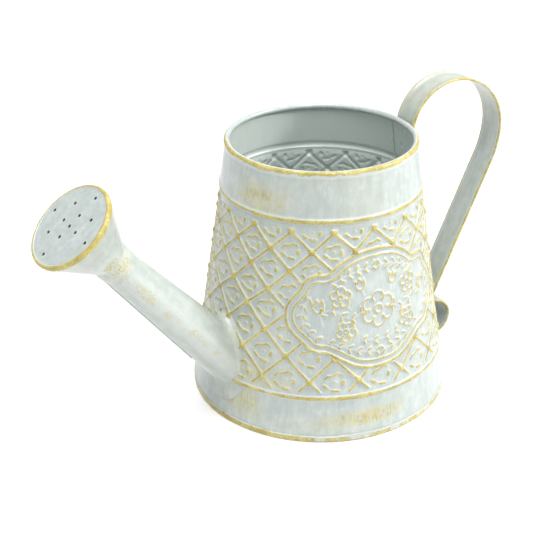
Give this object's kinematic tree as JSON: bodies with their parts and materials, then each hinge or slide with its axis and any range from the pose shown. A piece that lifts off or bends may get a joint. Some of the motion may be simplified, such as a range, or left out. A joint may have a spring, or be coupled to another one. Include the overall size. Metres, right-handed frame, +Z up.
{
  "type": "watering can",
  "caption": "Small decorative watering can of pressed sheet metal, with an embossed lattice body, an upswept spout ending in a pierced rose, and a looped strap handle with a curled foot.",
  "frame": {"origin": "centre of the round base, on the surface that the can stands on", "axes": "+Z up; +X towards the handle, with the spout on the -X side; -Y is the side that the embossed cartouche faces"},
  "size_m": [0.2541, 0.1318, 0.1522],
  "materials": {
    "wall_paint": "whitewashed pale blue-grey paint, gold rubbed on raised edges",
    "foot_paint": "whitewash worn to gold on the folded foot",
    "spout_paint": "whitewash with gold speckle along the tube",
    "rose_paint": "whitewash, gold rolled edge",
    "strap_paint": "whitewash, gold rubbed on the folded edges",
    "painted_solder": "lumpy solder under the same paint",
    "seam_solder": "dull grey solder and weld metal",
    "sealant": "dull grey sealant"
  },
  "bodies": {
    "root": {"body_wall": "wall_paint", "side_seam_solder": "seam_solder", "base_pan": "foot_paint", "base_sealant": "sealant", "spout_tube": "spout_paint", "spout_seam_solder": "painted_solder", "spout_root_solder": "painted_solder", "rose_cone": "rose_paint", "rose_face": "rose_paint", "rose_neck_solder": "painted_solder", "handle_strap": "strap_paint", "handle_upper_welds": "seam_solder", "handle_lower_welds": "seam_solder"}
  },
  "joints": []
}
